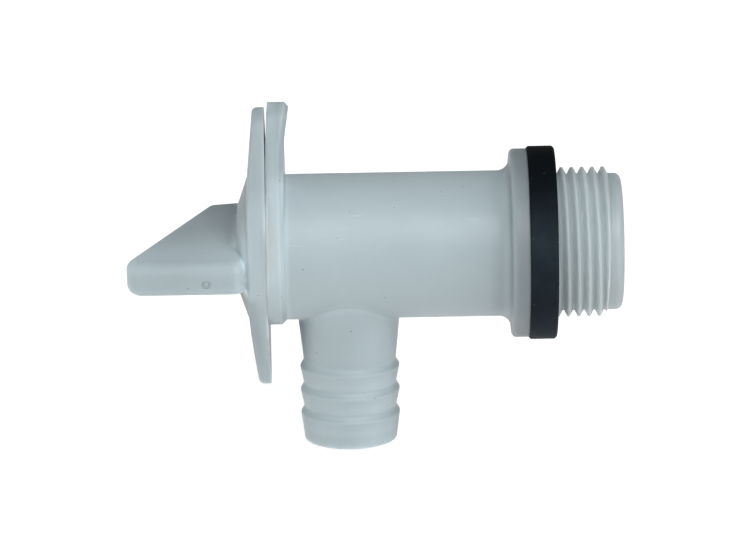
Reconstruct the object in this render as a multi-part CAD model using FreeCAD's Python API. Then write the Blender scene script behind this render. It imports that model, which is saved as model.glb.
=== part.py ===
"""Moulded plastic drum tap: a straight barrel with a male inlet thread at one end, a hose tail
pointing down, and a rotary key whose hollow plug opens and shuts the way to the tail.

Frame, in millimetres: the origin is on the barrel's axis, in the plane of the washer face that meets
the tank wall. +X points along the axis into the tank, +Z points up, and the hose tail points to -Z.
"""

import FreeCAD, Part
import math
import os

V = FreeCAD.Vector
ORIGIN = V(0, 0, 0)
TAP_AXIS = V(1, 0, 0)
UP = V(0, 0, 1)

# Inlet thread: G 3/4 (14 turns to the inch) with Whitworth-form flanks and a plain nose
INCH = 25.4
THREAD_PITCH = INCH / 14
THREAD_MAJOR_R = 13.22
THREAD_DEPTH = 0.64 * THREAD_PITCH
THREAD_MINOR_R = THREAD_MAJOR_R - THREAD_DEPTH
THREAD_FLANK = math.radians(27.5)
THREAD_CREST_WIDTH = 0.36
THREAD_TOP_CREST_X = 8.65
THREAD_END_X = 9.15
THREAD_END_TILT = 1.3
NOSE_END_X = 11.7
NOSE_ROUND = 1.2
INLET_BORE_R = 9.4

# Barrel, collar and washer
BARREL_R = 12.87
BARREL_BORE_R = 10.45
BARREL_BORE_END_X = -11.4
COLLAR_R = 16.65
COLLAR_BACK_X = -7.9
COLLAR_FILLET = 2.2
COLLAR_RIM_ROUND = 0.8
WASHER_R = 17.07
WASHER_THICKNESS = 4.87
WASHER_HOLE_R = 13.4
WASHER_BEVEL = 0.35

# Rim disc at the key end, with its upright ear
RIM_R = 13.7
RIM_BACK_X = -47.5
RIM_FRONT_X = -50.7
RIM_SLOPE = RIM_R - BARREL_R
TIP_R = 4.3
EAR_TIP_AT = 21.8
EAR_SET_BACK = 0.03
EAR_FRONT_LEAN = 0.45
EAR_FRONT_LEAN_R = 18.5
EAR_BACK_LEAN = 1.1
EAR_BACK_LEAN_R = 19.6
LOCK_HOLE_AT = 22.0
LOCK_HOLE_R = 2.1

# Hose tail
TAIL_X = -36.6
TAIL_TOP_R = 9.0
TAIL_ROOT_R = 8.18
TAIL_CREST_R = 8.8
TAIL_TAPER_END = 20.6
TAIL_STEP = 1.05
TAIL_LAND = 0.25
BARB_PITCH = 4.27
BARB_COUNT = 3
TAIL_LENGTH = 35.2
TAIL_END_ROUND = 0.5
TAIL_BORE_R = 6.25
TAIL_BORE_TOP = 13.5
PORT_R = 6.0
TAIL_JOIN_FILLET = 0.45

# Key: plate with two lugs, boss, fin and hollow plug, drawn with its lugs upright
KEY_REST_TURN = 11.5
LUG_TIP_AT = 22.3
PLATE_GAP = 0.02
PLATE_BACK_X = RIM_FRONT_X - PLATE_GAP
PLATE_THICKNESS = 3.28
PLATE_TAPER = math.radians(5.5)
PLATE_ROUND = 0.9
BOSS_FOOT_R = 13.0
BOSS_TOP_R = 7.7
BOSS_TOP_X = -55.85
BOSS_ROUND = 1.5
FIN_THICKNESS = 6.3
FIN_HALF_WIDTH = 13.7
FIN_SHORT_HALF_WIDTH = 12.6
FIN_LONG_X = -77.25
FIN_SHORT_X = -61.4
FIN_ROOT_X = -53.9
FIN_CORNER_ROUND = 2.8
FIN_SHORT_ROUND = 1.9
FIN_ROOT_ROUND = 2.5
FIN_EDGE_ROUND = 1.8
FLARE_R = 2.4
FLARE_LIP = 0.8
FLARE_STEPS = 6
FOOT_HALF_WIDTH = 13.3
FOOT_HALF_HEIGHT = 2.2
GATE_X = -61.2
GATE_DROP = 0.6
GATE_R = 0.8
GATE_DEPTH = 0.18

# Plug, its window and seal, the snap bead that holds it in, and the quarter-turn stop
PLUG_CLEARANCE = 0.05
PLUG_R = BARREL_BORE_R - PLUG_CLEARANCE
PLUG_BORE_R = 8.2
PLUG_END_X = -12.1
PLUG_FLOOR_X = -49.4
PLUG_LEAD = 0.4
WINDOW_R = PORT_R
BEAD_X = -14.4
BEAD_WIDTH = 1.3
BEAD_HEIGHT = 0.35
BEAD_PLAY = 0.25
SEAL_X = -46.4
SEAL_WIDTH = 1.5
SEAL_GROOVE_WIDTH = 1.9
SEAL_GROOVE_R = 9.3
SEAL_PLAY = 0.03
QUARTER_TURN = 90
STOP_R = 12.05
STOP_PEG_R = 0.75
STOP_PEG_LENGTH = 1.2
STOP_PLAY = 0.25


def lathe(points, centre=ORIGIN, axis=TAP_AXIS):
    """Solid of revolution about an axis, from (distance along the axis, radius) points."""
    across = UP if axis == TAP_AXIS else V(1, 0, 0)
    corners = [centre + axis * along + across * radius for along, radius in points]
    outline = Part.makePolygon(corners + corners[:1])
    return Part.Face(outline).revolve(centre, axis, 360)


def rod(radius, start, end):
    """Cylinder between two points."""
    return Part.makeCylinder(radius, (end - start).Length, start, end - start)


def ring_edges(shape, along, radius, centre=ORIGIN, axis=TAP_AXIS):
    """The circular edges of this radius at this distance along an axis."""
    found = []
    for edge in shape.Edges:
        curve = edge.Curve
        if not isinstance(curve, Part.Circle) or abs(curve.Radius - radius) > 0.01:
            continue
        offset = curve.Center - centre
        place = offset.dot(axis)
        if abs(place - along) < 0.01 and (offset - axis * place).Length < 0.01:
            found.append(edge)
    return found


def lug_sides(tip_at, side, upward):
    """Corner points of one flank of a lug: where it leaves the disc and where it meets the round tip."""
    lean = math.asin((RIM_R - TIP_R) / tip_at)
    away = V(0, side * math.cos(lean), upward * math.sin(lean))
    return away * RIM_R, V(0, 0, upward * tip_at) + away * TIP_R


def lug_plate(tip_at, back_x, front_x, both_ways):
    """Plate between two X planes: a disc with lugs up and down, or one lug up on a straight foot."""
    left_foot, left_tip = lug_sides(tip_at, -1, 1)
    right_foot, right_tip = lug_sides(tip_at, 1, 1)
    top = V(0, 0, tip_at + TIP_R)
    edges = [
        Part.LineSegment(left_foot, left_tip).toShape(),
        Part.Arc(left_tip, top, right_tip).toShape(),
        Part.LineSegment(right_tip, right_foot).toShape(),
    ]
    if both_ways:
        low_left_foot, low_left_tip = lug_sides(tip_at, -1, -1)
        low_right_foot, low_right_tip = lug_sides(tip_at, 1, -1)
        edges += [
            Part.Arc(right_foot, V(0, RIM_R, 0), low_right_foot).toShape(),
            Part.LineSegment(low_right_foot, low_right_tip).toShape(),
            Part.Arc(low_right_tip, top * -1, low_left_tip).toShape(),
            Part.LineSegment(low_left_tip, low_left_foot).toShape(),
            Part.Arc(low_left_foot, V(0, -RIM_R, 0), left_foot).toShape(),
        ]
    else:
        edges.append(Part.LineSegment(right_foot, left_foot).toShape())
    plate = Part.Face(Part.Wire(edges)).extrude(V(front_x - back_x, 0, 0))
    plate.translate(V(back_x, 0, 0))
    return plate


def lock_hole():
    """Bore for a padlock or a seal wire, through the middle of a round tip."""
    return rod(LOCK_HOLE_R, V(RIM_BACK_X + 5, 0, LOCK_HOLE_AT), V(RIM_FRONT_X - 8, 0, LOCK_HOLE_AT))


def thread_ridge():
    """Right-hand thread ridge along +X, cut off a little askew before the plain nose so that it fades out."""
    buried = 0.2
    half_crest = THREAD_CREST_WIDTH / 2
    half_foot = half_crest + (THREAD_DEPTH + buried) * math.tan(THREAD_FLANK)
    foot_r = THREAD_MINOR_R - buried
    turns = 7
    length = turns * THREAD_PITCH
    helix = Part.makeHelix(THREAD_PITCH, length, THREAD_MAJOR_R)
    corners = [
        V(foot_r, 0, -half_foot),
        V(THREAD_MAJOR_R, 0, -half_crest),
        V(THREAD_MAJOR_R, 0, half_crest),
        V(foot_r, 0, half_foot),
    ]
    section = Part.makePolygon(corners + corners[:1])
    ridge = Part.Wire(helix).makePipeShell([section], True, True)
    # the helix starts on its local +X side, and turning about Y brings that side to the bottom
    ridge.rotate(ORIGIN, V(0, 1, 0), 90)
    start_x = THREAD_TOP_CREST_X + THREAD_PITCH / 2 + THREAD_PITCH - length
    ridge.translate(V(start_x, 0, 0))
    root_x = -WASHER_THICKNESS + 0.6
    room = lathe([
        (root_x, 0),
        (root_x, THREAD_MINOR_R),
        (root_x + THREAD_DEPTH, THREAD_MAJOR_R + 0.1),
        (NOSE_END_X, THREAD_MAJOR_R + 0.1),
        (NOSE_END_X, 0),
    ])
    end = V(THREAD_END_X, 0, 0)
    past_end = rod(THREAD_MAJOR_R + 1, end, end + TAP_AXIS * 2 * THREAD_PITCH)
    past_end.rotate(end, V(0, 1, 0), THREAD_END_TILT)
    ridge = ridge.common(room).cut(past_end)
    if len(ridge.Solids) != 1:
        raise ValueError("the thread ridge is not one solid")
    return ridge


def body_core():
    """Turned outside of the body along the tap axis: rim disc, barrel, collar and thread core."""
    core = lathe([
        (RIM_FRONT_X, 0),
        (RIM_FRONT_X, RIM_R),
        (RIM_BACK_X - RIM_SLOPE, RIM_R),
        (RIM_BACK_X, BARREL_R),
        (COLLAR_BACK_X, BARREL_R),
        (COLLAR_BACK_X, COLLAR_R),
        (-WASHER_THICKNESS, COLLAR_R),
        (-WASHER_THICKNESS, THREAD_MINOR_R),
        (NOSE_END_X, THREAD_MINOR_R),
        (NOSE_END_X, 0),
    ])
    core = core.makeFillet(NOSE_ROUND, ring_edges(core, NOSE_END_X, THREAD_MINOR_R))
    core = core.makeFillet(COLLAR_FILLET, ring_edges(core, COLLAR_BACK_X, BARREL_R))
    return core.makeFillet(COLLAR_RIM_ROUND, ring_edges(core, COLLAR_BACK_X, COLLAR_R))


def body_ear():
    """Upright ear for the rim disc, a hair behind the disc's face and bent back towards its tip."""
    reach = EAR_TIP_AT + TIP_R
    blank = lug_plate(EAR_TIP_AT, RIM_BACK_X + EAR_BACK_LEAN, RIM_FRONT_X, both_ways=False)
    bent = lathe([
        (RIM_FRONT_X + EAR_SET_BACK, 0),
        (RIM_FRONT_X + EAR_SET_BACK, EAR_FRONT_LEAN_R),
        (RIM_FRONT_X + EAR_FRONT_LEAN, reach),
        (RIM_BACK_X + EAR_BACK_LEAN, reach),
        (RIM_BACK_X, EAR_BACK_LEAN_R),
        (RIM_BACK_X, 0),
    ])
    ear = blank.common(bent)
    back_edges = [
        edge for edge in ear.Edges
        if all(vertex.X > RIM_BACK_X - 0.01 for vertex in edge.Vertexes)
        and all(math.hypot(vertex.Y, vertex.Z) > RIM_R - 0.01 for vertex in edge.Vertexes)
        and edge.BoundBox.ZMax > RIM_R
    ]
    return ear.makeChamfer(RIM_SLOPE, back_edges)


def hose_tail():
    """Tapered spout with three barbs, solid, pointing down."""
    taper = (TAIL_TOP_R - TAIL_ROOT_R) / (TAIL_TAPER_END - BARREL_R)
    points = [(0, 0), (0, TAIL_TOP_R + BARREL_R * taper), (TAIL_TAPER_END, TAIL_ROOT_R)]
    for barb in range(BARB_COUNT):
        start = TAIL_TAPER_END + barb * BARB_PITCH
        last = barb == BARB_COUNT - 1
        end = TAIL_LENGTH if last else start + BARB_PITCH
        points += [
            (start + TAIL_STEP, TAIL_CREST_R),
            (start + TAIL_STEP + TAIL_LAND, TAIL_CREST_R),
            (end, TAIL_ROOT_R),
        ]
    points.append((TAIL_LENGTH, 0))
    centre = V(TAIL_X, 0, 0)
    down = UP * -1
    tail = lathe(points, centre, down)
    end_ring = ring_edges(tail, TAIL_LENGTH, TAIL_ROOT_R, centre, down)
    return tail.makeFillet(TAIL_END_ROUND, end_ring)


def join_edges(shape):
    """The edges where the tapered hose tail meets the barrel."""
    found = []
    for edge in shape.Edges:
        middle = edge.valueAt((edge.FirstParameter + edge.LastParameter) / 2)
        from_tail = math.hypot(middle.x - TAIL_X, middle.y)
        from_axis = math.hypot(middle.y, middle.z)
        on_both = abs(from_axis - BARREL_R) < 0.02 and abs(from_tail - TAIL_TOP_R) < 0.6
        if on_both and middle.z < 0 and not isinstance(edge.Curve, (Part.Circle, Part.Line)):
            found.append(edge)
    return found


def stop_slot():
    """Arc slot in the rim face that lets the key's stop peg swing a quarter turn."""
    half = STOP_PEG_R + STOP_PLAY
    depth = STOP_PEG_LENGTH + STOP_PLAY
    corners = [
        V(RIM_FRONT_X - 1, 0, STOP_R - half),
        V(RIM_FRONT_X + depth, 0, STOP_R - half),
        V(RIM_FRONT_X + depth, 0, STOP_R + half),
        V(RIM_FRONT_X - 1, 0, STOP_R + half),
    ]
    face = Part.Face(Part.makePolygon(corners + corners[:1]))
    slot = face.revolve(ORIGIN, TAP_AXIS, QUARTER_TURN)
    for angle in (0, QUARTER_TURN):
        end = rod(half, V(RIM_FRONT_X - 1, 0, STOP_R), V(RIM_FRONT_X + depth, 0, STOP_R))
        end.rotate(ORIGIN, TAP_AXIS, angle)
        slot = slot.fuse(end)
    return slot


def make_tap_body():
    """Body moulding: barrel, collar, thread, rim with ear and hose tail, with its bores."""
    outside = body_core().fuse([hose_tail(), body_ear()]).removeSplitter()
    outside = outside.makeFillet(TAIL_JOIN_FILLET, join_edges(outside))
    outside = outside.fuse(thread_ridge())
    groove_half = BEAD_WIDTH / 2 + BEAD_PLAY
    bores = lathe([
        (RIM_FRONT_X - 1, 0),
        (RIM_FRONT_X - 1, BARREL_BORE_R),
        (BEAD_X - groove_half, BARREL_BORE_R),
        (BEAD_X - groove_half, BARREL_BORE_R + BEAD_HEIGHT + PLUG_CLEARANCE),
        (BEAD_X + groove_half, BARREL_BORE_R + BEAD_HEIGHT + PLUG_CLEARANCE),
        (BEAD_X + groove_half, BARREL_BORE_R),
        (BARREL_BORE_END_X, BARREL_BORE_R),
        (BARREL_BORE_END_X, INLET_BORE_R),
        (NOSE_END_X + 1, INLET_BORE_R),
        (NOSE_END_X + 1, 0),
    ])
    port = rod(PORT_R, V(TAIL_X, 0, 0), V(TAIL_X, 0, -TAIL_BORE_TOP))
    tail_bore = rod(TAIL_BORE_R, V(TAIL_X, 0, -TAIL_BORE_TOP), V(TAIL_X, 0, -TAIL_LENGTH - 1))
    return outside.cut([bores, port, tail_bore, lock_hole(), stop_slot()])


def key_plate():
    """Lugged plate of the key, thinner towards its tips, with rounded front edges."""
    reach = LUG_TIP_AT + TIP_R
    rim_x = PLATE_BACK_X - PLATE_THICKNESS
    slope = math.tan(PLATE_TAPER)
    blank = lug_plate(LUG_TIP_AT, PLATE_BACK_X, rim_x - 2, both_ways=True)
    tapered = lathe([
        (PLATE_BACK_X, 0),
        (rim_x - RIM_R * slope, 0),
        (rim_x + (reach - RIM_R) * slope, reach),
        (PLATE_BACK_X, reach),
    ])
    plate = blank.common(tapered)
    front_edges = [
        edge for edge in plate.Edges
        if all(vertex.X < PLATE_BACK_X - 1.2 for vertex in edge.Vertexes)
        and all(math.hypot(vertex.Y, vertex.Z) > RIM_R - 0.1 for vertex in edge.Vertexes)
    ]
    return plate.makeFillet(PLATE_ROUND, front_edges)


def key_boss():
    """Shallow cone that carries the fin."""
    foot_x = PLATE_BACK_X - PLATE_THICKNESS
    boss = lathe([
        (PLATE_BACK_X, 0),
        (PLATE_BACK_X, BOSS_FOOT_R),
        (foot_x, BOSS_FOOT_R),
        (BOSS_TOP_X, BOSS_TOP_R),
        (BOSS_TOP_X - 0.3, 0),
    ])
    return boss.makeFillet(BOSS_ROUND, ring_edges(boss, BOSS_TOP_X, BOSS_TOP_R))


def gate_mark():
    """Shallow ring-shaped witness of the moulding gate on the fin's long edge."""
    middle = V(GATE_X, -FIN_HALF_WIDTH, -GATE_DROP)
    inward = V(0, GATE_DEPTH, 0)
    dimple = rod(GATE_R, middle - inward, middle + inward)
    return dimple.cut(rod(GATE_R / 2, middle - inward * 2, middle + inward * 2))


def key_fin():
    """Flat asymmetric paddle: one long edge, one short edge and a slanting end, softly rounded."""
    half = FIN_THICKNESS / 2
    corners = [
        V(FIN_ROOT_X, -FIN_HALF_WIDTH, -half),
        V(FIN_LONG_X, -FIN_HALF_WIDTH, -half),
        V(FIN_SHORT_X, FIN_SHORT_HALF_WIDTH, -half),
        V(FIN_ROOT_X, FIN_HALF_WIDTH, -half),
    ]
    fin = Part.Face(Part.makePolygon(corners + corners[:1])).extrude(V(0, 0, FIN_THICKNESS))
    rounds = [FIN_ROOT_ROUND, FIN_CORNER_ROUND, FIN_SHORT_ROUND, FIN_ROOT_ROUND]
    for corner, radius in zip(corners, rounds):
        upright = [
            edge for edge in fin.Edges
            if all(math.hypot(vertex.X - corner.x, vertex.Y - corner.y) < 0.01 for vertex in edge.Vertexes)
        ]
        fin = fin.makeFillet(radius, upright)
    flat_edges = [
        edge for edge in fin.Edges
        if abs(edge.Vertexes[0].Z - edge.Vertexes[-1].Z) < 0.01
    ]
    fin = fin.makeFillet(FIN_EDGE_ROUND, flat_edges)
    return fin.cut(gate_mark())


def flare_outline(x, half_width, half_height):
    """Stadium-shaped outline, across the tap axis, for the thickened root of the fin."""
    middle = half_width - half_height
    return Part.Wire([
        Part.LineSegment(V(x, -middle, half_height), V(x, middle, half_height)).toShape(),
        Part.Arc(
            V(x, middle, half_height), V(x, half_width, 0), V(x, middle, -half_height)
        ).toShape(),
        Part.LineSegment(V(x, middle, -half_height), V(x, -middle, -half_height)).toShape(),
        Part.Arc(
            V(x, -middle, -half_height), V(x, -half_width, 0), V(x, -middle, half_height)
        ).toShape(),
    ])


def fin_flare():
    """Hollow-cornered flare that blends both faces of the fin into the boss's cone."""
    thin = FIN_THICKNESS / 2 - 0.04
    narrow = BOSS_TOP_R + FLARE_LIP
    outlines = []
    for step in range(FLARE_STEPS + 1):
        turn = math.radians(80) * step / FLARE_STEPS
        x = BOSS_TOP_X - FLARE_R * (1 - math.sin(turn))
        outlines.append(flare_outline(x, narrow, thin + FLARE_R * (1 - math.cos(turn))))
    foot_x = PLATE_BACK_X - PLATE_THICKNESS
    for part_way in (0.5, 1):
        x = BOSS_TOP_X + (foot_x - BOSS_TOP_X) * part_way
        half_width = narrow + (BOSS_FOOT_R - BOSS_TOP_R) * part_way
        outlines.append(flare_outline(x, half_width, thin + FLARE_R))
    return Part.makeLoft(outlines, True, True)


def fin_foot():
    """Straight foot that carries the fin's long edges on to the plate."""
    foot = Part.Face(flare_outline(FIN_ROOT_X - FIN_ROOT_ROUND, FOOT_HALF_WIDTH, FOOT_HALF_HEIGHT))
    return foot.extrude(V(FIN_ROOT_ROUND + 0.3, 0, 0))


def key_plug():
    """Hollow plug with a snap bead at its tail and a groove for its seal."""
    bead_half = BEAD_WIDTH / 2
    bead_r = PLUG_R + BEAD_HEIGHT
    groove_half = SEAL_GROOVE_WIDTH / 2
    plug = lathe([
        (PLATE_BACK_X - 1, 0),
        (PLATE_BACK_X - 1, PLUG_R),
        (SEAL_X - groove_half, PLUG_R),
        (SEAL_X - groove_half, SEAL_GROOVE_R),
        (SEAL_X + groove_half, SEAL_GROOVE_R),
        (SEAL_X + groove_half, PLUG_R),
        (BEAD_X - bead_half, PLUG_R),
        (BEAD_X - bead_half + BEAD_HEIGHT, bead_r),
        (BEAD_X, bead_r),
        (BEAD_X + bead_half, PLUG_R),
        (PLUG_END_X - PLUG_LEAD, PLUG_R),
        (PLUG_END_X, PLUG_R - PLUG_LEAD),
        (PLUG_END_X, 0),
    ])
    hollow = rod(PLUG_BORE_R, V(PLUG_FLOOR_X, 0, 0), V(PLUG_END_X + 1, 0, 0))
    window = rod(WINDOW_R, V(TAIL_X, 0, 0), V(TAIL_X, -PLUG_R - 1, 0))
    return plug.cut([hollow, window])


def stop_peg():
    """Peg on the back of the plate that runs in the body's stop slot."""
    return rod(STOP_PEG_R, V(PLATE_BACK_X - 1, 0, STOP_R), V(PLATE_BACK_X + STOP_PEG_LENGTH, 0, STOP_R))


def make_key():
    """Key moulding, turned to its resting angle just past the closed position."""
    head = key_plate().fuse(key_boss()).removeSplitter()
    head = head.fuse([key_fin(), fin_flare(), fin_foot()]).removeSplitter()
    key = head.fuse([key_plug(), stop_peg()]).cut(lock_hole())
    key.rotate(ORIGIN, TAP_AXIS, KEY_REST_TURN)
    return key


def make_stem_o_ring():
    """Seal in the plug's groove, squeezed flat against the groove and the bore."""
    inner = SEAL_GROOVE_R
    outer = BARREL_BORE_R - SEAL_PLAY
    half_height = (outer - inner) / 2
    flat = SEAL_WIDTH / 2 - half_height
    middle = inner + half_height
    edges = [
        Part.LineSegment(V(SEAL_X - flat, 0, inner), V(SEAL_X + flat, 0, inner)).toShape(),
        Part.Arc(
            V(SEAL_X + flat, 0, inner), V(SEAL_X + SEAL_WIDTH / 2, 0, middle), V(SEAL_X + flat, 0, outer)
        ).toShape(),
        Part.LineSegment(V(SEAL_X + flat, 0, outer), V(SEAL_X - flat, 0, outer)).toShape(),
        Part.Arc(
            V(SEAL_X - flat, 0, outer), V(SEAL_X - SEAL_WIDTH / 2, 0, middle), V(SEAL_X - flat, 0, inner)
        ).toShape(),
    ]
    return Part.Face(Part.Wire(edges)).revolve(ORIGIN, TAP_AXIS, 360)


def make_tank_washer():
    """Flat rubber washer between the collar and the tank wall."""
    return lathe([
        (-WASHER_THICKNESS, WASHER_HOLE_R),
        (-WASHER_THICKNESS, WASHER_R - WASHER_BEVEL),
        (-WASHER_THICKNESS + WASHER_BEVEL, WASHER_R),
        (-WASHER_BEVEL, WASHER_R),
        (0, WASHER_R - WASHER_BEVEL),
        (0, WASHER_HOLE_R),
    ])


MAKERS = {
    "tap_body": make_tap_body,
    "key": make_key,
    "stem_o_ring": make_stem_o_ring,
    "tank_washer": make_tank_washer,
}

os.makedirs("parts", exist_ok=True)
for name, make in MAKERS.items():
    shape = make()
    if len(shape.Solids) != 1 or not shape.isValid():
        raise ValueError(name + " is not one valid solid")
    shape.Solids[0].exportStep("parts/" + name + ".step")
    print(name, round(shape.Volume, 1), "mm3", shape.BoundBox)
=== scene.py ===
"""Looks for a moulded plastic drum tap: milky plastic body and key, black rubber washer."""

import math

import bpy
from mathutils import Matrix, Vector


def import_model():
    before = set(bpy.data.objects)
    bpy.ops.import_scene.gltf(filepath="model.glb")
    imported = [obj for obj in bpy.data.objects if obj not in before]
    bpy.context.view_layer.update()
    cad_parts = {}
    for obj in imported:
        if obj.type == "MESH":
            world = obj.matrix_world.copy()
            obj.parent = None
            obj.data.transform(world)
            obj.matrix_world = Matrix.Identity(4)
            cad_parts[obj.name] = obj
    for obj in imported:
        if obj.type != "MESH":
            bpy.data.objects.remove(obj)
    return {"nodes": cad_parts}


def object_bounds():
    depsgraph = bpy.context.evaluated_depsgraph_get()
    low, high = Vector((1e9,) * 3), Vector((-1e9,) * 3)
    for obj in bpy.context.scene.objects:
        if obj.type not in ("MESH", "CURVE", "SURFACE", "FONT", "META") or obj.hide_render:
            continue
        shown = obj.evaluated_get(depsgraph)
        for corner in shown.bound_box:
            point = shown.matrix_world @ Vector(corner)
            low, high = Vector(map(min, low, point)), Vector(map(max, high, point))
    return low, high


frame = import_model()
CAD_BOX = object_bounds()

MM = 0.001

# Camera: looks along +Y from a little above, rolled slightly
CAMERA_DISTANCE = 0.72
CAMERA_AZIMUTH = math.radians(0.0)
CAMERA_ELEVATION = math.radians(14.5)
CAMERA_ROLL = math.radians(1.02)
CAMERA_TARGET = Vector((-31.84, 0, -5.435)) * MM
CAMERA_PIXELS_PER_METRE = 5650
CAMERA_NEAREST, CAMERA_FARTHEST = 0.05, 20
IMAGE_WIDTH = 750
SENSOR_WIDTH = 36

# Studio: angles in degrees, sizes in metres, powers in watts
LIGHT_DISTANCE = 1.2
FRONT_LIGHT = {
    "azimuth": 14, "elevation": 38, "size": 0.8, "power": 12.2, "colour": (0.95, 1.0, 1.03),
}
LEFT_LIGHT = {
    "azimuth": -75, "elevation": 12, "size": 0.6, "power": 2.5, "colour": (0.97, 1.0, 1.02),
}
SURROUNDINGS_STRENGTH = 0.33
FLOOR_SIZE = 6
FLOOR_GAP = 0.5 * MM
FLOOR_GREY = 0.5
FLOOR_GLOW = 0.8

# Plastic: its colour, that colour's share where it is cloudy, mottled, specked or scuffed, the reach
# of light inside it, the radius over which the mouldings' edges look softened, and the distances
# from the seam in mm between which that softening sets in
NATURAL = (0.37, 0.43, 0.45)
CLOUDY, MOTTLED, SPECKED, SCUFFED = 0.96, 0.93, 0.45, 1.12
LIGHT_REACH = 4.0 * MM
SOFT_EDGE = 0.6 * MM
SOFT_FROM_SEAM = (0.3, 0.8)

# Rubber: the washer's colour where clean, dusty and specked, the colour of its gloss, and the two
# tones of the clear seal
RUBBER_CLEAN, RUBBER_DUSTY = (0.014, 0.020, 0.026), (0.022, 0.030, 0.037)
RUBBER_SPECK = (0.05, 0.06, 0.07)
RUBBER_GLOSS = (0.7, 0.95, 1.2, 1)
CLEAR_DARK, CLEAR_PALE = (0.62, 0.60, 0.54), (0.7, 0.68, 0.62)

# The key rests this far round from its closed position
KEY_REST_TURN = math.radians(11.5)

# The lists below hold (place in mm, painted brightness) stops, except where they say otherwise.
# The pairs below hold the (start, end) in mm of a smooth change from one region to the next.

# Along the tap axis: painted light and shade on the body, darker where its thin wall is beside the
# black washer
BODY_PAINTED_LIGHT_ALONG = [
    (-51, 1.06), (-49.8, 1.08), (-48.9, 1.02), (-48.3, 1.03), (-47.8, 1.2), (-47.3, 1.25),
    (-46.6, 1.05), (-45, 1.0), (-30, 0.97), (-20, 0.94), (-12, 0.85), (-10, 0.77), (-8.8, 0.9),
    (-8.0, 0.7), (-7.2, 0.53), (-4, 0.53), (0, 0.85), (3, 0.94), (6, 1.03), (9, 1.0), (11, 0.92),
    (12, 0.84),
]

# Painted light and shade by height: ear, barrel and hose tail, then the rim and the nose beside them
BODY_PAINTED_LIGHT_BY_HEIGHT = [
    (-36, 0.93), (-30, 0.98), (-22, 0.97), (-14, 0.92), (-8, 0.91), (0, 0.97), (8, 1.08),
    (13, 1.12), (15, 0.98), (19, 0.95), (22.3, 0.95), (25.7, 1.04), (27, 1.05),
]
RIM_PAINTED_LIGHT_BY_HEIGHT = [
    (-13, 0.94), (-9, 0.97), (-5.6, 1.04), (0.6, 1.14), (4.7, 1.05), (8.8, 0.98), (12, 0.92),
]
NOSE_PAINTED_SHADE_BY_HEIGHT = [(-13, 0.88), (-9, 0.9), (-4, 0.98), (4, 1.0), (9, 0.91), (13, 0.82)]
RIM_ENDS = (-48.4, -47.2)
NOSE_STARTS = (6, 9)

# Along the tap axis, painted shade on thin edges: the ear's back edge, and the front edge of the
# key's plate below its boss
EAR_PAINTED_SHADE_ALONG = [(-51, 1.0), (-49, 1.0), (-48.4, 0.92), (-47.9, 0.82), (-47, 0.72)]
EAR_STARTS = (13.5, 16)
BARREL_STARTS = (-46.5, -45.5)
LOW_PLATE_PAINTED_SHADE_ALONG = [(-55, 0.6), (-54, 0.66), (-53.2, 0.81), (-52.4, 0.91), (-51.6, 1.0), (-50, 1.0)]
LOW_PLATE_ENDS = (-5, -3.2)

# Painted shade by height from the key's axis: lugs and plate
KEY_PAINTED_SHADE_BY_HEIGHT = [
    (-27, 0.84), (-17, 0.82), (-12, 0.85), (-5, 0.95), (0, 1.0), (5, 1.0), (12, 0.95), (15, 0.84),
    (27, 0.77),
]

# Along the tap axis, painted light and shade: the key, and the cone of its boss. By height: painted
# shade on that cone, dull at its top
KEY_PAINTED_SHADE_ALONG = [
    (-77, 0.98), (-66, 0.96), (-60, 1.01), (-57, 1.0), (-54.4, 1.0), (-54, 0.95), (-53, 0.96),
    (-52, 1.0), (-50, 1.0),
]
BOSS_PAINTED_LIGHT_ALONG = [
    (-58, 1.0), (-57, 1.02), (-56, 1.15), (-55.3, 1.28), (-54.7, 1.5), (-54.2, 1.45), (-53.8, 1.1),
    (-53, 1.0),
]
BOSS_PAINTED_SHADE_BY_HEIGHT = [
    (-13, 0.45), (-8, 0.5), (-5.2, 0.62), (-3.5, 0.9), (2.5, 0.92), (4.3, 1.0), (6.5, 0.87),
    (8, 0.7), (9.4, 0.54), (13, 0.42),
]
BOSS_RADIUS_ENDS = (12.4, 13.4)
BOSS_LONG_SIDE_ENDS = (-1, 4)
CONE_STARTS, CONE_ENDS = (-56.5, -55.5), (-53.5, -53.0)

# Painted light and shade across the fin, on its faces, from its long edge to its short edge
FIN_PAINTED_LIGHT_ACROSS = [
    (-14, 0.91), (-13.2, 0.88), (-12, 1.05), (-10, 1.14), (-5, 1.0), (0, 0.85), (7, 0.75),
    (13, 0.67), (14, 0.67),
]
FIN_ENDS = (-57.0, -55.6)

# Where the fin's long edge meets the plate, how far the painted light in that crease reaches, how
# much brighter its bottom is painted, its width, and how shut in a place is that is painted bright
# (0 shut, 1 open)
FIN_ROOT = Vector((-54.6, -12.5, 1.5)) * MM
FIN_ROOT_REACH = Vector((3.0, 12.0, 9.0)) * MM
FIN_ROOT_PAINTED_LIGHT = (1.28, 1.28, 1.28)
CREASE_WIDTH = 1.5 * MM
CREASE_SHUT, CREASE_OPEN = 0.45, 0.9

# Hose tail: where it meets the barrel, the painted light in that crease, and how wide the crease
# looks
TAIL_X, TAIL_TOP_R, BARREL_R = -36.6 * MM, 9.0 * MM, 12.87 * MM
TAIL_CREASE_PAINTED_LIGHT = (1.22, 1.22, 1.22)
TAIL_CREASE_ON_BARREL, TAIL_CREASE_ON_TAIL = 1.0 * MM, 1.2 * MM
TAIL_CREASE_ENDS = (-8, -7)

# Painted light and shade across the tail, and where it gives way to the barrel's
TAIL_PAINTED_SHADE_ACROSS = [
    (-9, 0.78), (-7.5, 0.86), (-5, 0.91), (0, 0.95), (3.8, 1.04), (5.4, 1.02), (7, 0.94),
    (8, 0.78), (9, 0.7),
]
TAIL_ENDS = (-15, -11)

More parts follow.
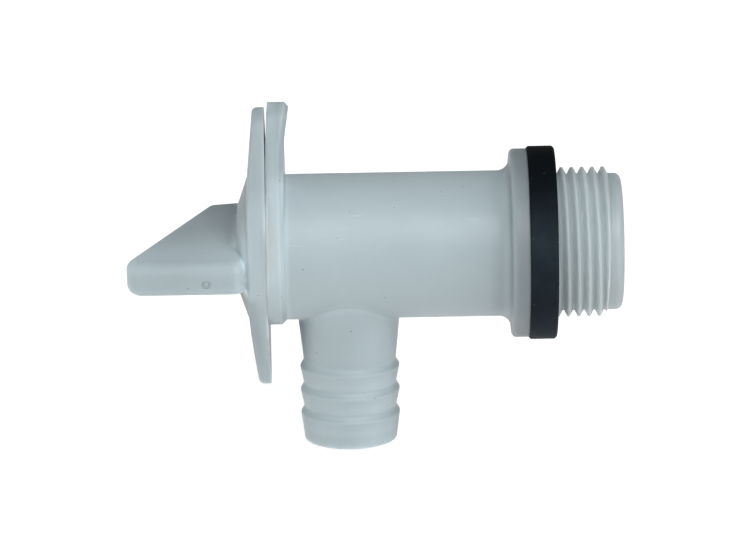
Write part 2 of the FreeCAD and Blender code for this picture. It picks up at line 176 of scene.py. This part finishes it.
# Barbs: how far down they start, their pitch, (part of the pitch, painted brightness), and how far
# below their start that painted light and shade fades in and out
BARBS_START, BARB_PITCH = 20.6 * MM, 4.27 * MM
BARB_PAINTED_LIGHT = [
    (0, 1.15), (0.1, 1.06), (0.2, 0.95), (0.35, 0.96), (0.6, 1.03), (0.85, 1.1), (1, 1.15),
]
BARBS_FADE_IN = (-0.6, -0.1)
BARBS_FADE_OUT = (11.61, 12.41)

# The seam between key and body, which is shut below this height. Painted light crosses it there
# beside the rim, and its lower and upper parts are painted this much brighter on each side
SEAM_X, SEAM_REACH = -50.71 * MM, 0.7 * MM
SEAM_OPENS, SEAM_FADE = 10.8 * MM, 1.5 * MM
SEAM_LOW_END = (-14.5, -13)
SEAM_UPPER_STARTS = (-9, 2)
BODY_SEAM_PAINTED_LIGHT = (1.6, 2.4)
KEY_SEAM_PAINTED_LIGHT = (1.35, 1.5)

# Thread: where it starts and ends, its root and crest radii in mm, its painted brightness there, and
# the warm tone of this end of the body
THREAD_STARTS, THREAD_ENDS = (-0.5, 0.5), (8.8, 9.8)
THREAD_RADII = (12.1, 13.2)
THREAD_ROOT_PAINTED_LIGHT = (1.22, 1.2, 1.18)
THREAD_CREST_PAINTED_SHADE = (0.93, 0.93, 0.93)
THREAD_TONE = (1.02, 0.985, 0.965)

# Painted shade by height on the washer, darkest on top
WASHER_PAINTED_SHADE_BY_HEIGHT = [
    (-18, 0.85), (-13, 0.68), (-7, 0.45), (0, 0.68), (5, 0.78), (10, 0.36), (16, 0.12), (18, 0.12),
]

# Specks: the size of the cells they lie in, the distances from a cell's point between which a speck
# fades, in cells, and the random numbers between which a cell gets its speck
SPECK_CELL = 2 * MM
SPECK_RADII = (0.05, 0.09)
SPECK_ODDS = (0.78, 0.8)

# Scuffs along the tap axis: their length, how much finer they are across, the size of the patches
# they lie in, and the noise levels between which scuffs and patches show
SCUFF_LENGTH, SCUFF_FINENESS = 4 * MM, 14.0
SCUFF_PATCH = 9 * MM
SCUFF_LEVELS, SCUFF_PATCH_LEVELS = (0.66, 0.72), (0.56, 0.64)

UNCHANGED = (1, 1, 1)

# A Mix node's sockets: its factor, and its two inputs and its output for vectors and for colours
MIX_FACTOR = 0
MIX_VECTORS, MIXED_VECTOR = (4, 5), 1
MIX_COLOURS, MIXED_COLOUR = (6, 7), 2


def nodes_of(material):
    """The node tree of a fresh material, and its shader."""
    material.use_nodes = True
    tree = material.node_tree
    return tree, tree.nodes["Principled BSDF"]


def add(tree, kind, inputs=(), **settings):
    """A new shader node, with settings on it and (socket, value or output) pairs on its inputs."""
    node = tree.nodes.new(kind)
    for name, value in settings.items():
        setattr(node, name, value)
    for socket, value in inputs:
        if isinstance(value, bpy.types.NodeSocket):
            tree.links.new(value, node.inputs[socket])
        else:
            node.inputs[socket].default_value = value
    return node


def noise(tree, place, size, detail=3, roughness=0.5):
    """Noise whose blobs are about this many metres across."""
    node = add(tree, "ShaderNodeTexNoise", [("Vector", place), ("Scale", 1 / size)])
    node.inputs["Detail"].default_value = detail
    node.inputs["Roughness"].default_value = roughness
    return node.outputs["Fac"]


def spread(tree, value, low, high, new_low=0.0, new_high=1.0):
    """Maps low..high to new_low..new_high, clamped."""
    node = add(tree, "ShaderNodeMapRange", [("Value", value)])
    node.inputs["From Min"].default_value = low
    node.inputs["From Max"].default_value = high
    node.inputs["To Min"].default_value = new_low
    node.inputs["To Max"].default_value = new_high
    return node.outputs["Result"]


def past(tree, value, span):
    """0 before this (start, end) span in mm, 1 past it."""
    start, end = span
    return spread(tree, value, start * MM, end * MM)


def before(tree, value, span):
    """1 before this (start, end) span in mm, 0 past it."""
    start, end = span
    return spread(tree, value, start * MM, end * MM, 1.0, 0.0)


def math_node(tree, operation, first, second=0.0):
    """One arithmetic step."""
    node = add(tree, "ShaderNodeMath", [(0, first), (1, second)], operation=operation)
    return node.outputs["Value"]


def both(tree, first, second):
    """Product of two masks."""
    return math_node(tree, "MULTIPLY", first, second)


def mix_colour(tree, factor, first, second, blend="MIX"):
    """Blends two colours."""
    node = add(tree, "ShaderNodeMix", data_type="RGBA", blend_type=blend)
    for index, value in zip((MIX_FACTOR, *MIX_COLOURS), (factor, first, second)):
        if isinstance(value, bpy.types.NodeSocket):
            tree.links.new(value, node.inputs[index])
        elif index == MIX_FACTOR:
            node.inputs[index].default_value = value
        else:
            node.inputs[index].default_value = (*value, 1)
    return node.outputs[MIXED_COLOUR]


def brightness_ramp(tree, value, stops, unit=MM):
    """Grey that follows (place, brightness) stops smoothly, with places in this unit."""
    start, end = stops[0][0], stops[-1][0]
    place = spread(tree, value, start * unit, end * unit)
    ramp = add(tree, "ShaderNodeValToRGB", [("Fac", place)])
    ramp.color_ramp.interpolation = "CARDINAL"
    elements = ramp.color_ramp.elements
    while len(elements) < len(stops):
        elements.new(0.5)
    for element, (place, shade) in zip(elements, stops):
        element.position = (place - start) / (end - start)
        element.color = (shade / 2, shade / 2, shade / 2, 1)
    return mix_colour(tree, 1.0, ramp.outputs["Color"], (2, 2, 2), "MULTIPLY")


def times(tree, *shades):
    """Product of greys or colours."""
    product = shades[0]
    for shade in shades[1:]:
        product = mix_colour(tree, 1.0, product, shade, "MULTIPLY")
    return product


def only_on(tree, mask, shade):
    """This shade where the mask is 1, and no change where it is 0."""
    return mix_colour(tree, mask, UNCHANGED, shade)


def radius_from(tree, first, second):
    """Distance from an axis, from the two coordinates across it."""
    squares = [math_node(tree, "POWER", value, 2.0) for value in (first, second)]
    return math_node(tree, "SQRT", math_node(tree, "ADD", *squares))


def closeness(tree, value, middle, reach):
    """1 where the value is at the middle, falling to 0 at this distance from it."""
    apart = math_node(tree, "ABSOLUTE", math_node(tree, "SUBTRACT", value, middle))
    return spread(tree, apart, 0.0, reach, 1.0, 0.0)


def seam_painted_light(tree, parts, shades):
    """Painted light across the closed part of the seam, with its brightness at the bottom and at the
    top.
    """
    low, high = shades
    near = closeness(tree, parts.outputs["X"], SEAM_X, SEAM_REACH)
    narrow = math_node(tree, "POWER", near, 2.0)
    height = parts.outputs["Z"]
    shut = spread(tree, height, SEAM_OPENS - SEAM_FADE, SEAM_OPENS + SEAM_FADE, 1.0, 0.0)
    beside_rim = past(tree, height, SEAM_LOW_END)
    upper = past(tree, height, SEAM_UPPER_STARTS)
    bright = mix_colour(tree, upper, (low, low, low), (high, high, high))
    return only_on(tree, both(tree, narrow, both(tree, shut, beside_rim)), bright)


def thread_painted_light_and_tone(tree, parts, radius):
    """Painted light inside the thread's roots, painted shade on its crests, and the faint warm tone
    of the threaded end.
    """
    threaded = past(tree, parts.outputs["X"], THREAD_STARTS)
    before_nose = before(tree, parts.outputs["X"], THREAD_ENDS)
    height = past(tree, radius, THREAD_RADII)
    depth = mix_colour(tree, height, THREAD_ROOT_PAINTED_LIGHT, THREAD_CREST_PAINTED_SHADE)
    painted_brightening = only_on(tree, both(tree, threaded, before_nose), depth)
    return times(tree, painted_brightening, only_on(tree, threaded, THREAD_TONE))


def tail_crease(tree, parts, radius, across):
    """1 in the crease where the hose tail leaves the barrel, 0 elsewhere."""
    tail_radius = radius_from(tree, across, parts.outputs["Y"])
    on_barrel = closeness(tree, radius, BARREL_R, TAIL_CREASE_ON_BARREL)
    on_tail = closeness(tree, tail_radius, TAIL_TOP_R, TAIL_CREASE_ON_TAIL)
    below = before(tree, parts.outputs["Z"], TAIL_CREASE_ENDS)
    return both(tree, both(tree, on_barrel, on_tail), below)


def barb_painted_light(tree, parts):
    """Painted light and shade down each barb."""
    down = math_node(tree, "MULTIPLY", parts.outputs["Z"], -1.0)
    drop = math_node(tree, "SUBTRACT", down, BARBS_START)
    phase = math_node(tree, "FRACT", math_node(tree, "DIVIDE", drop, BARB_PITCH))
    on_barbs = both(
        tree, past(tree, drop, BARBS_FADE_IN), before(tree, drop, BARBS_FADE_OUT)
    )
    return only_on(tree, on_barbs, brightness_ramp(tree, phase, BARB_PAINTED_LIGHT, 1.0))


def tail_painted_light(tree, parts, radius):
    """Painted light in the hose tail's crease and in the corners of its barbs, and painted shade on
    its sides.
    """
    across = math_node(tree, "SUBTRACT", parts.outputs["X"], TAIL_X)
    crease = tail_crease(tree, parts, radius, across)
    on_tail = before(tree, parts.outputs["Z"], TAIL_ENDS)
    return times(
        tree,
        barb_painted_light(tree, parts),
        only_on(tree, crease, TAIL_CREASE_PAINTED_LIGHT),
        only_on(tree, on_tail, brightness_ramp(tree, across, TAIL_PAINTED_SHADE_ACROSS)),
    )


def ear_painted_shade(tree, parts):
    """Painted shade on the ear along the tap axis, and no change where the barrel is."""
    on_barrel = past(tree, parts.outputs["X"], BARREL_STARTS)
    return mix_colour(
        tree, on_barrel, brightness_ramp(tree, parts.outputs["X"], EAR_PAINTED_SHADE_ALONG), UNCHANGED
    )


def end_painted_light(tree, parts):
    """Painted light low on the rim, painted shade on the ear's back edge, and the nose's painted
    darker top and bottom.
    """
    height = parts.outputs["Z"]
    ear = past(tree, height, EAR_STARTS)
    rim = before(tree, parts.outputs["X"], RIM_ENDS)
    nose = past(tree, parts.outputs["X"], NOSE_STARTS)
    return times(
        tree,
        only_on(tree, ear, ear_painted_shade(tree, parts)),
        only_on(tree, rim, brightness_ramp(tree, height, RIM_PAINTED_LIGHT_BY_HEIGHT)),
        only_on(tree, nose, brightness_ramp(tree, height, NOSE_PAINTED_SHADE_BY_HEIGHT)),
    )


def painted_light_and_tone_of_body(tree, place):
    """Painted light and shade on the body along its axis, by height, and in its corners."""
    parts = add(tree, "ShaderNodeSeparateXYZ", [("Vector", place)])
    radius = radius_from(tree, parts.outputs["Y"], parts.outputs["Z"])
    return times(
        tree,
        brightness_ramp(tree, parts.outputs["X"], BODY_PAINTED_LIGHT_ALONG),
        brightness_ramp(tree, parts.outputs["Z"], BODY_PAINTED_LIGHT_BY_HEIGHT),
        end_painted_light(tree, parts),
        seam_painted_light(tree, parts, BODY_SEAM_PAINTED_LIGHT),
        thread_painted_light_and_tone(tree, parts, radius),
        tail_painted_light(tree, parts, radius),
    )


def root_painted_light(tree, parts):
    """Painted light in the crease between the fin's long edge and the plate."""
    occlusion = add(tree, "ShaderNodeAmbientOcclusion", [("Distance", CREASE_WIDTH)], samples=8)
    painted_brightening = spread(tree, occlusion.outputs["AO"], CREASE_SHUT, CREASE_OPEN, 1.0, 0.0)
    for axis, middle, reach in zip("XYZ", FIN_ROOT, FIN_ROOT_REACH):
        painted_brightening = both(tree, painted_brightening, closeness(tree, parts.outputs[axis], middle, reach))
    return only_on(tree, painted_brightening, FIN_ROOT_PAINTED_LIGHT)


def boss_painted_light(tree, parts):
    """Painted light on the boss on the side of the fin's long edge, with painted shade at the top
    and bottom.
    """
    along = parts.outputs["X"]
    radius = radius_from(tree, parts.outputs["Y"], parts.outputs["Z"])
    on_boss = before(tree, radius, BOSS_RADIUS_ENDS)
    long_side = before(tree, parts.outputs["Y"], BOSS_LONG_SIDE_ENDS)
    on_cone = both(tree, before(tree, along, CONE_ENDS), past(tree, along, CONE_STARTS))
    boss = times(
        tree,
        brightness_ramp(tree, along, BOSS_PAINTED_LIGHT_ALONG),
        only_on(tree, on_cone, brightness_ramp(tree, parts.outputs["Z"], BOSS_PAINTED_SHADE_BY_HEIGHT)),
    )
    return only_on(tree, both(tree, on_boss, long_side), boss)


def painted_light_of_key(tree, place):
    """Painted light and shade on the key: darker lugs, brighter boss, and a fin darker towards its
    short edge.
    """
    turned = add(tree, "ShaderNodeVectorRotate", [("Vector", place)], rotation_type="X_AXIS")
    turned.inputs["Angle"].default_value = -KEY_REST_TURN
    parts = add(tree, "ShaderNodeSeparateXYZ", [("Vector", turned.outputs["Vector"])])
    along = parts.outputs["X"]
    on_fin = before(tree, along, FIN_ENDS)
    low = before(tree, parts.outputs["Z"], LOW_PLATE_ENDS)
    return times(
        tree,
        boss_painted_light(tree, parts),
        only_on(tree, low, brightness_ramp(tree, along, LOW_PLATE_PAINTED_SHADE_ALONG)),
        root_painted_light(tree, parts),
        brightness_ramp(tree, along, KEY_PAINTED_SHADE_ALONG),
        brightness_ramp(tree, parts.outputs["Z"], KEY_PAINTED_SHADE_BY_HEIGHT),
        seam_painted_light(tree, parts, KEY_SEAM_PAINTED_LIGHT),
        only_on(tree, on_fin, brightness_ramp(tree, parts.outputs["Y"], FIN_PAINTED_LIGHT_ACROSS)),
    )


def soft_edges(tree, place):
    """Normal that rounds the moulded edges, except along the seam between key and body."""
    along = add(tree, "ShaderNodeSeparateXYZ", [("Vector", place)]).outputs["X"]
    from_seam = math_node(tree, "ABSOLUTE", math_node(tree, "SUBTRACT", along, SEAM_X))
    plain = before(tree, from_seam, SOFT_FROM_SEAM)
    rounded = add(tree, "ShaderNodeBevel", [("Radius", SOFT_EDGE)], samples=6).outputs["Normal"]
    sharp = add(tree, "ShaderNodeNewGeometry").outputs["Normal"]
    pick = add(tree, "ShaderNodeMix", data_type="VECTOR")
    for index, value in zip((MIX_FACTOR, *MIX_VECTORS), (plain, rounded, sharp)):
        tree.links.new(value, pick.inputs[index])
    return pick.outputs[MIXED_VECTOR]


def specks(tree, place):
    """Fine dark specks: 1 on a speck, 0 elsewhere."""
    cells = add(tree, "ShaderNodeTexVoronoi", [("Vector", place), ("Scale", 1 / SPECK_CELL)])
    near = spread(tree, cells.outputs["Distance"], *SPECK_RADII, 1.0, 0.0)
    dice = add(tree, "ShaderNodeSeparateColor", [("Color", cells.outputs["Color"])])
    return both(tree, near, spread(tree, dice.outputs["Red"], *SPECK_ODDS))


def scuffs(tree, place):
    """Faint scuffs along the tap axis, in patches: 1 on a scuff, 0 elsewhere."""
    scale = (1.0, SCUFF_FINENESS, SCUFF_FINENESS)
    stretched = add(tree, "ShaderNodeMapping", [("Vector", place), ("Scale", scale)])
    streaks = noise(tree, stretched.outputs["Vector"], SCUFF_LENGTH, detail=2)
    patches = noise(tree, place, SCUFF_PATCH, detail=2)
    return both(
        tree, spread(tree, streaks, *SCUFF_LEVELS), spread(tree, patches, *SCUFF_PATCH_LEVELS)
    )


def shaded(colour, share):
    """A colour at this share of its brightness."""
    return [channel * share for channel in colour]


def grainy_normal(tree, place, size, detail, strength, depth):
    """Bump node with grain of this size and depth."""
    grain = noise(tree, place, size, detail)
    inputs = [("Height", grain), ("Strength", strength), ("Distance", depth)]
    return add(tree, "ShaderNodeBump", inputs)


def milky_plastic(name, colour, shade):
    """Natural polyethylene: waxy, faintly cloudy, with fine moulding texture and painted light and
    shade.
    """
    material = bpy.data.materials.new(name)
    tree, shader = nodes_of(material)
    place = add(tree, "ShaderNodeTexCoord").outputs["Object"]
    cloud = spread(tree, noise(tree, place, size=14 * MM, detail=4), 0.35, 0.65)
    mottle = spread(tree, noise(tree, place, size=0.5 * MM, detail=2), 0.3, 0.7, 0.0, 0.35)
    tint = mix_colour(tree, cloud, colour, shaded(colour, CLOUDY))
    tint = mix_colour(tree, mottle, tint, shaded(colour, MOTTLED))
    tint = mix_colour(tree, specks(tree, place), tint, shaded(colour, SPECKED))
    tint = mix_colour(tree, scuffs(tree, place), tint, shaded(colour, SCUFFED))
    # Painted light and shade multiply the plastic's colour here
    tint = times(tree, tint, shade(tree, place))
    tree.links.new(tint, shader.inputs["Base Color"])
    shader.inputs["Subsurface Weight"].default_value = 1.0
    shader.inputs["Subsurface Radius"].default_value = (1.0, 1.0, 1.0)
    shader.inputs["Subsurface Scale"].default_value = LIGHT_REACH
    shader.inputs["IOR"].default_value = 1.5
    rough = spread(tree, noise(tree, place, size=3 * MM, detail=3), 0.3, 0.7, 0.42, 0.52)
    tree.links.new(rough, shader.inputs["Roughness"])
    bump = grainy_normal(tree, place, size=0.25 * MM, detail=2, strength=0.12, depth=0.02 * MM)
    tree.links.new(soft_edges(tree, place), bump.inputs["Normal"])
    tree.links.new(bump.outputs["Normal"], shader.inputs["Normal"])
    return material


def black_rubber(name):
    """Matt black rubber sheet, with painted shade darkest on top."""
    material = bpy.data.materials.new(name)
    tree, shader = nodes_of(material)
    place = add(tree, "ShaderNodeTexCoord").outputs["Object"]
    dust = spread(tree, noise(tree, place, size=6 * MM, detail=5, roughness=0.6), 0.4, 0.7)
    tint = mix_colour(tree, dust, RUBBER_CLEAN, RUBBER_DUSTY)
    height = add(tree, "ShaderNodeSeparateXYZ", [("Vector", place)]).outputs["Z"]
    # Painted shade by height, darkest on top
    tint = times(tree, tint, brightness_ramp(tree, height, WASHER_PAINTED_SHADE_BY_HEIGHT))
    tint = mix_colour(tree, specks(tree, place), tint, RUBBER_SPECK)
    tree.links.new(tint, shader.inputs["Base Color"])
    shader.inputs["Roughness"].default_value = 0.65
    shader.inputs["Specular IOR Level"].default_value = 0.05
    shader.inputs["Specular Tint"].default_value = RUBBER_GLOSS
    bump = grainy_normal(tree, place, size=0.3 * MM, detail=3, strength=0.3, depth=0.03 * MM)
    tree.links.new(bump.outputs["Normal"], shader.inputs["Normal"])
    return material


def clear_rubber(name):
    """Translucent silicone."""
    material = bpy.data.materials.new(name)
    tree, shader = nodes_of(material)
    place = add(tree, "ShaderNodeTexCoord").outputs["Object"]
    cloud = noise(tree, place, size=2 * MM, detail=2)
    tint = mix_colour(tree, cloud, CLEAR_DARK, CLEAR_PALE)
    tree.links.new(tint, shader.inputs["Base Color"])
    shader.inputs["Roughness"].default_value = 0.35
    shader.inputs["Subsurface Weight"].default_value = 0.5
    shader.inputs["Subsurface Scale"].default_value = 1.0 * MM
    return material


def dress(node, material):
    """Puts one material on a CAD node."""
    obj = frame["nodes"][node]
    obj.data.materials.clear()
    obj.data.materials.append(material)
    for slot in obj.material_slots:
        slot.material = material


def make_floor():
    """Plain pale floor under the hose tail."""
    floor_z = CAD_BOX[0][2] - FLOOR_GAP
    bpy.ops.mesh.primitive_plane_add(size=FLOOR_SIZE, location=(0, 0, floor_z))
    floor = bpy.context.object
    floor.name = "floor"
    material = bpy.data.materials.new("pale_floor")
    _, shader = nodes_of(material)
    shader.inputs["Base Color"].default_value = (FLOOR_GREY, FLOOR_GREY, FLOOR_GREY, 1)
    shader.inputs["Roughness"].default_value = 0.9
    shader.inputs["Emission Color"].default_value = (1, 1, 1, 1)
    shader.inputs["Emission Strength"].default_value = FLOOR_GLOW
    floor.data.materials.append(material)


def direction(azimuth, elevation):
    """Unit vector from the tap towards a place at these angles in radians, from -Y towards +X."""
    return Vector((
        math.sin(azimuth) * math.cos(elevation),
        -math.cos(azimuth) * math.cos(elevation),
        math.sin(elevation),
    ))


def make_camera():
    """Camera at the viewing angle."""
    towards = direction(CAMERA_AZIMUTH, CAMERA_ELEVATION)
    right = (-towards).cross(Vector((0, 0, 1))).normalized()
    up = right.cross(-towards)
    turned_right = right * math.cos(CAMERA_ROLL) - up * math.sin(CAMERA_ROLL)
    turned_up = right * math.sin(CAMERA_ROLL) + up * math.cos(CAMERA_ROLL)
    data = bpy.data.cameras.new("camera")
    data.sensor_width = SENSOR_WIDTH
    data.lens = CAMERA_PIXELS_PER_METRE * CAMERA_DISTANCE / IMAGE_WIDTH * SENSOR_WIDTH
    data.clip_start = CAMERA_NEAREST
    data.clip_end = CAMERA_FARTHEST
    camera = bpy.data.objects.new("camera", data)
    axes = Matrix((turned_right, turned_up, towards)).transposed().to_4x4()
    camera.matrix_world = Matrix.Translation(CAMERA_TARGET + towards * CAMERA_DISTANCE) @ axes
    bpy.context.collection.objects.link(camera)
    bpy.context.scene.camera = camera


def soft_light(name, azimuth, elevation, size, power, colour):
    """Square area light that faces the tap from this direction."""
    data = bpy.data.lights.new(name, "AREA")
    data.size = size
    data.energy = power
    data.color = colour
    light = bpy.data.objects.new(name, data)
    away = direction(math.radians(azimuth), math.radians(elevation))
    light.location = CAMERA_TARGET + away * LIGHT_DISTANCE
    light.rotation_euler = away.to_track_quat("Z", "Y").to_euler()
    bpy.context.collection.objects.link(light)


def make_studio():
    """Soft light from the front and above, a weaker one from the left, and pale surroundings."""
    soft_light("front_light", **FRONT_LIGHT)
    soft_light("left_light", **LEFT_LIGHT)
    world = bpy.data.worlds.new("surroundings")
    bpy.context.scene.world = world
    world.use_nodes = True
    background = world.node_tree.nodes["Background"]
    background.inputs["Color"].default_value = (1, 1, 1, 1)
    background.inputs["Strength"].default_value = SURROUNDINGS_STRENGTH
    bpy.context.scene.view_settings.view_transform = "Standard"


# Both plastics carry painted light and shade in their colour
dress("tap_body", milky_plastic("milky_plastic", NATURAL, painted_light_and_tone_of_body))
dress("key", milky_plastic("milky_plastic_key", NATURAL, painted_light_of_key))
dress("stem_o_ring", clear_rubber("clear_rubber"))
dress("tank_washer", black_rubber("black_rubber"))
make_floor()
make_camera()
make_studio()
